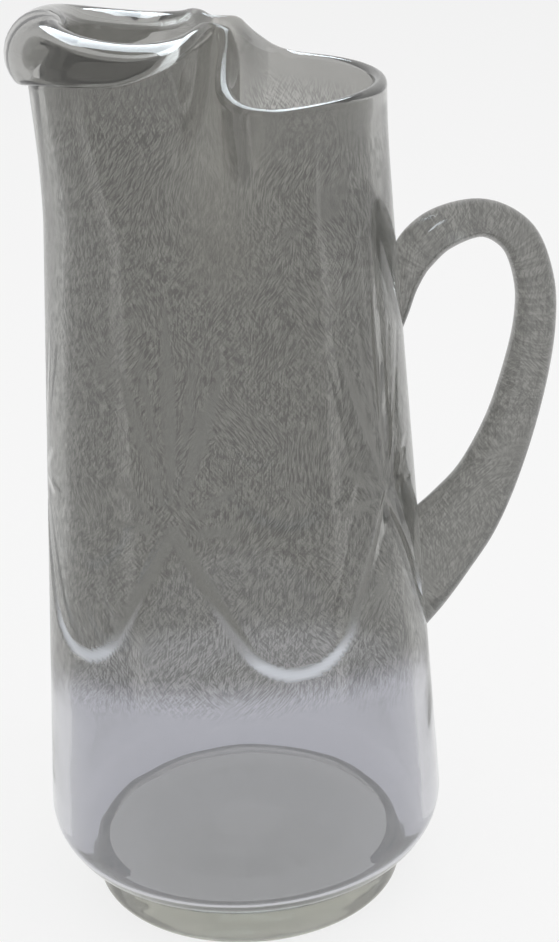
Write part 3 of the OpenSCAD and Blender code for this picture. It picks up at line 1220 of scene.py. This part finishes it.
@dataclass(frozen=True)
class PadFoot:
    """Thick round foot that is fused under the body."""

    vessel: Vessel
    radius: float = 0.043
    edge: float = 0.003
    shoulder: float = 0.0016
    inner_radii: tuple[float, float] = (0.013, 0.027)
    gap: float = 0.00002
    columns: int = 256
    edge_points: int = 9
    shoulder_points: int = 7
    fold: float = 0.6
    smooth_angle: float = math.radians(50)

    def corner(self, radius: float, height: float, start: float, count: int) -> Rows:
        """Follows one round corner of the foot through a quarter of a turn.

        Args:
            radius: Radius of the corner.
            height: Height of its middle.
            start: Angle at which it starts.
            count: How many places to give.

        Returns:
            Radius and height of each place.
        """
        turn = np.linspace(start, start + math.pi / 2, count)
        middle = self.radius - radius
        return np.column_stack((middle + radius * np.cos(turn), height + radius * np.sin(turn)))

    def build(self) -> bpy.types.Object:
        """Spins the foot and marks the face that is fused to the body.

        Returns:
            The finished foot.
        """
        top = self.vessel.foot_height - self.gap
        seat = self.vessel.heel_middle[0]
        near, far = self.inner_radii
        low = self.corner(self.edge, self.edge, -math.pi / 2, self.edge_points)
        high = self.corner(self.shoulder, top - self.shoulder, 0, self.shoulder_points)
        under = [(0, 0), (near, 0), (far, 0)]
        over = [(seat, top), (far, top), (near, top), (0, top)]
        piece = Bench.draw_outline("foot_glass", np.vstack((under, low, high, over)))
        Bench.spin(piece, self.columns)
        middles = Bench.face_middles(piece)
        inner = np.hypot(middles[:, 0], middles[:, 1]) < seat
        Bench.note(piece, "seat", "FACE", inner & (middles[:, 2] > top - self.gap / 2))
        Bench.note(piece, "fold", "FACE", np.full(len(middles), self.fold))
        Bench.smooth(piece, self.smooth_angle)
        return piece


@dataclass(frozen=True)
class PulledHandle:
    """Handle pulled from a hot rod, pressed on under the shoulder and on the belly."""

    vessel: Vessel
    out: float = 0.0346
    top: float = 0.1871
    foot: float = 0.079
    thickness: float = 0.0104
    width: float = 0.013
    # Share of the painted lines of the backdrop seen through the handle
    wear: float = 0.7
    gap: float = 0.00002
    sides: int = 32
    steps: int = 8
    rod_step: float = 0.001
    core_ends: tuple[float, float] = (0.06, 0.2)
    core_rows: int = 15
    core_columns: int = 512
    seat_reach: float = 0.0003
    seat_slope: float = 0.9
    smooth_angle: float = math.radians(50)

    # Way out from the wall, way up, and thickness and width, as shares of the rod's
    LINE = (
        (-0.072, 0.722, 0.3, 0.45),
        (-0.012, 0.786, 0.5, 0.72),
        (0.04, 0.86, 0.82, 0.95),
        (0.143, 0.927, 1.08, 1.05),
        (0.355, 0.98, 1.06, 1),
        (0.665, 1, 0.92, 0.95),
        (0.91, 0.949, 0.96, 0.95),
        (1.008, 0.846, 1, 0.97),
        (0.996, 0.74, 1.06, 1),
        (0.91, 0.62, 1.17, 1.03),
        (0.757, 0.476, 1.31, 1.08),
        (0.551, 0.338, 1.6, 1.16),
        (0.338, 0.24, 2, 1.27),
        (0.104, 0.157, 2.3, 1.36),
        (-0.114, 0.077, 2.45, 1.36),
        (-0.318, 0, 2.4, 1.25),
    )

    def rings(self) -> Rows:
        """Lays the rings of the rod.

        Returns:
            The rings, from the tail of the upper joint to the lower joint.
        """
        table = np.array(self.LINE)
        last = len(table) - 1
        line = smooth_path(table, np.linspace(0, last, self.steps * last + 1))
        z = lerp(self.foot, self.top, line[:, 1])
        x = self.vessel.wall_radius(z) + line[:, 0] * self.out
        heading = unit(np.column_stack((np.gradient(x), np.gradient(z))))
        turn = np.arange(self.sides) / self.sides * math.tau
        off = line[:, 2:3] * self.thickness / 2 * np.cos(turn)
        across = line[:, 3:4] * self.width / 2 * np.sin(turn)
        return np.stack(
            (x[:, None] + off * heading[:, 1:], across, z[:, None] - off * heading[:, :1]), axis=2
        )

    def build(self) -> bpy.types.Object:
        """Extrudes a round rod, bends it along the handle and trims its ends to the wall.

        Returns:
            The finished handle.
        """
        rings = self.rings()
        Bench.clear()
        bpy.ops.mesh.primitive_circle_add(vertices=self.sides, radius=self.thickness / 2)
        piece = bpy.context.object
        piece.name = piece.data.name = "handle_glass"
        bpy.ops.object.mode_set(mode="EDIT")
        bpy.ops.mesh.select_all(action="SELECT")
        bpy.ops.mesh.edge_face_add()
        bpy.ops.mesh.select_all(action="SELECT")
        for _ in range(len(rings) - 1):
            up = (0, 0, self.rod_step)
            bpy.ops.mesh.extrude_region_move(TRANSFORM_OT_translate={"value": up})
        bpy.ops.object.mode_set(mode="OBJECT")
        old = Bench.corners(piece)
        row = np.rint(old[:, 2] / self.rod_step).astype(int)
        turn = np.arctan2(old[:, 1], old[:, 0]) / math.tau * self.sides
        Bench.lay(piece, rings[row, np.rint(turn).astype(int) % self.sides])
        bpy.ops.object.mode_set(mode="EDIT")
        bpy.ops.mesh.select_all(action="SELECT")
        bpy.ops.mesh.normals_make_consistent(inside=False)
        bpy.ops.object.mode_set(mode="OBJECT")
        self.trim(piece)
        Bench.smooth(piece, self.smooth_angle)
        return piece

    def trim(self, piece: bpy.types.Object) -> None:
        """Cuts away what lies inside the wall's outer face and marks the fused faces.

        Args:
            piece: The bent rod.
        """
        heights = np.linspace(*self.core_ends, self.core_rows)
        side = np.column_stack((self.vessel.wall_radius(heights) + self.gap, heights))
        low, high = self.core_ends
        core = Bench.draw_outline("core", np.vstack(((0, low), side, (0, high))))
        Bench.spin(core, self.core_columns)
        Bench.take(piece)
        cutter = piece.modifiers.new("trim", "BOOLEAN")
        cutter.operation, cutter.solver, cutter.object = "DIFFERENCE", "EXACT", core
        bpy.ops.object.modifier_apply(modifier="trim")
        bpy.data.objects.remove(core)
        middles = Bench.face_middles(piece)
        normals = np.array([tuple(p.normal) for p in piece.data.polygons])
        off = np.hypot(middles[:, 0], middles[:, 1]) - self.vessel.wall_radius(middles[:, 2])
        seat = (np.abs(off) < self.seat_reach) & (normals[:, 0] < -self.seat_slope)
        Bench.note(piece, "seat", "FACE", seat)
        # Painted lines of the backdrop seen through the glass, all over the handle
        Bench.note(piece, "wear", "POINT", np.full(len(piece.data.vertices), self.wear))


# ---- Studio ----


@dataclass(frozen=True)
class SoftLamp:
    """Lamp with a flat rectangular face.

    A lamp that gleams on no piece by name lights the studio, and gives no highlight.
    """

    place: tuple[float, float, float]
    target: tuple[float, float, float]
    size: tuple[float, float]
    power: float
    gleams_on: tuple[str, ...] = ()


class Lamp(Enum):
    """Lamps of the studio."""

    SKY = SoftLamp((0.2, -0.3, 2.0), (0.0, 0.0, 0.1), (1.6, 1.6), 14.0)
    SIDE = SoftLamp((1.3, -0.5, 0.9), (0.0, 0.0, 0.12), (0.25, 0.9), 3.0)
    WINDOW = SoftLamp((0.03, 0.72, 1.55), (0.0, 0.0, 0.235), (1.1, 1.58), 60.0, ("vessel_glass",))
    DOOR = SoftLamp(
        (-0.5, -0.8, 1.35), (0.07, 0.0, 0.17), (0.22, 0.5), 3.4, ("handle_glass", "foot_glass")
    )


@dataclass(frozen=True)
class Studio:
    """Pale floor, plain light and the camera at the photograph's angle."""

    floor_size: float = 14.0
    floor_drop: float = 0.0002
    world: tuple[float, float, float] = (0.85, 0.85, 0.85)
    ambient: float = 0.62
    gleam_colour: tuple[float, float, float] = (0.84, 0.93, 1.0)
    camera_place: tuple[float, float, float] = (0.0, -0.4879, 0.3173)
    camera_target: tuple[float, float, float] = (0.01289, 0.0, 0.1203)
    camera_roll: float = math.radians(-2.23)
    focal_pixels: float = 1971.5
    picture_height: float = 942.0
    sensor: float = 36.0
    nearest: float = 0.01
    furthest: float = 100.0
    glass_bounces: int = 20
    clear_bounces: int = 32

    def lay_floor(self) -> bpy.types.Object:
        """Adds the floor just under the object.

        Returns:
            The floor.
        """
        Bench.clear()
        under = (0, 0, -self.floor_drop)
        bpy.ops.mesh.primitive_plane_add(size=self.floor_size, location=under)
        floor = bpy.context.object
        floor.name = floor.data.name = "floor"
        bpy.ops.object.transform_apply(location=True, rotation=True, scale=True)
        floor.data.materials.append(PlainFloor().material())
        return floor

    def light(self) -> None:
        """Sets the world's plain light and hangs the lamps."""
        world = bpy.data.worlds.new("studio")
        bpy.context.scene.world = world
        world.use_nodes = True
        board = Board(world.node_tree)
        backdrop = {"Color": (*self.world, 1), "Strength": 1.0}
        plain = board.read("Background", "Background", {}, backdrop)
        ambient = {"Color": (1, 1, 1, 1), "Strength": self.ambient}
        soft = board.read("Background", "Background", {}, ambient)
        board.node("OutputWorld", {}, {"Surface": board.blend(board.seen(), soft, plain)})
        for lamp in Lamp:
            self.hang(lamp.name.lower(), lamp.value)

    def hang(self, name: str, lamp: SoftLamp) -> None:
        """Hangs one lamp and turns it to its target.

        Args:
            name: Name of the lamp.
            lamp: What it is like.
        """
        light = bpy.data.lights.new(name, "AREA")
        light.shape, light.size, light.size_y, light.energy = "RECTANGLE", *lamp.size, lamp.power
        holder = bpy.data.objects.new(name, light)
        bpy.context.scene.collection.objects.link(holder)
        holder.location = lamp.place
        way = Vector(lamp.target) - Vector(lamp.place)
        holder.rotation_euler = way.to_track_quat("-Z", "Y").to_euler()
        holder.visible_camera = holder.visible_transmission = False
        holder.visible_glossy = bool(lamp.gleams_on)
        holder.visible_diffuse = not lamp.gleams_on
        if lamp.gleams_on:
            light.color = self.gleam_colour
            group = bpy.data.collections.new(name + "_gleams")
            for piece in lamp.gleams_on:
                group.objects.link(bpy.data.objects[piece])
            holder.light_linking.receiver_collection = group

    def aim_camera(self) -> None:
        """Sets up the camera that was fitted to the photograph."""
        camera = bpy.data.cameras.new("camera")
        camera.lens = self.focal_pixels / self.picture_height * self.sensor
        camera.clip_start, camera.clip_end = self.nearest, self.furthest
        holder = bpy.data.objects.new("camera", camera)
        bpy.context.scene.collection.objects.link(holder)
        place, target = Vector(self.camera_place), Vector(self.camera_target)
        back = (place - target).normalized()
        right = Vector((0, 0, 1)).cross(back).normalized()
        up = back.cross(right)
        c, s = math.cos(self.camera_roll), math.sin(self.camera_roll)
        turned = Matrix((c * right + s * up, -s * right + c * up, back)).transposed()
        holder.matrix_world = Matrix.Translation(place) @ turned.to_4x4()
        bpy.context.scene.camera = holder

    def set_up(self) -> None:
        """Lays the floor, lights the studio, aims the camera and sets how rays are followed."""
        self.lay_floor()
        self.light()
        self.aim_camera()
        scene = bpy.context.scene
        scene.view_settings.view_transform = "Standard"
        scene.cycles.max_bounces = scene.cycles.transmission_bounces = self.glass_bounces
        scene.cycles.transparent_max_bounces = self.clear_bounces


class Pitcher:
    """The whole pitcher, dressed in its glass."""

    def __init__(self) -> None:
        """Sets up its three pieces and their finishes."""
        self.vessel = Vessel()
        self.foot = PadFoot(self.vessel)
        self.handle = PulledHandle(self.vessel)
        self.body_glass = ClearGlass(
            name="body_glass",
            tint_and_painted_shade=(0.41, 0.407, 0.392),
            low_tint_and_painted_light=(0.68, 0.682, 0.72),
            density=20,
            ripple_size=0.03,
            ripple_depth=0.0003,
        )
        self.foot_glass = ClearGlass(
            name="foot_glass",
            tint_and_painted_shade=(0.5, 0.5, 0.455),
            low_tint_and_painted_light=(0.5, 0.5, 0.455),
            density=7,
            ripple_size=0.02,
            ripple_depth=0.0003,
            absorbed=(0.6, 0.64, 0.45),
        )
        self.handle_glass = ClearGlass(
            name="handle_glass",
            tint_and_painted_shade=(0.2, 0.198, 0.188),
            low_tint_and_painted_light=(0.22, 0.22, 0.22),
            density=14,
            ripple_size=0.015,
            ripple_depth=0.0003,
            around=False,
        )

    def dress(self, piece: bpy.types.Object, node: str, finish: ClearGlass) -> None:
        """Gives a piece its glass and lets it stand for its node.

        Args:
            piece: The piece.
            node: Name of the node that it stands for.
            finish: Its glass.
        """
        piece.data.materials.append(finish.material())
        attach(piece, "root")
        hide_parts(node)
        LOG.info("%s stands for %s with %d faces", piece.name, node, len(piece.data.polygons))

    def build(self) -> None:
        """Builds and dresses the body, the foot and the handle."""
        body = self.vessel.build()
        self.dress(body, "vessel_body", self.body_glass)
        self.dress(self.foot.build(), "foot", self.foot_glass)
        handle = self.handle.build()
        self.dress(handle, "handle", self.handle_glass)
        self.vessel.take_handle(body, Bench.border(handle, Bench.values(handle, "seat") > 0.5))


def main() -> None:
    """Builds the pitcher and its studio."""
    logging.basicConfig(level=logging.INFO, format="%(name)s: %(message)s")
    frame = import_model()
    LOG.info("frame with %d nodes", len(frame["nodes"]))
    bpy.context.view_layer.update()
    Pitcher().build()
    Studio().set_up()


if __name__ == "__main__":
    main()
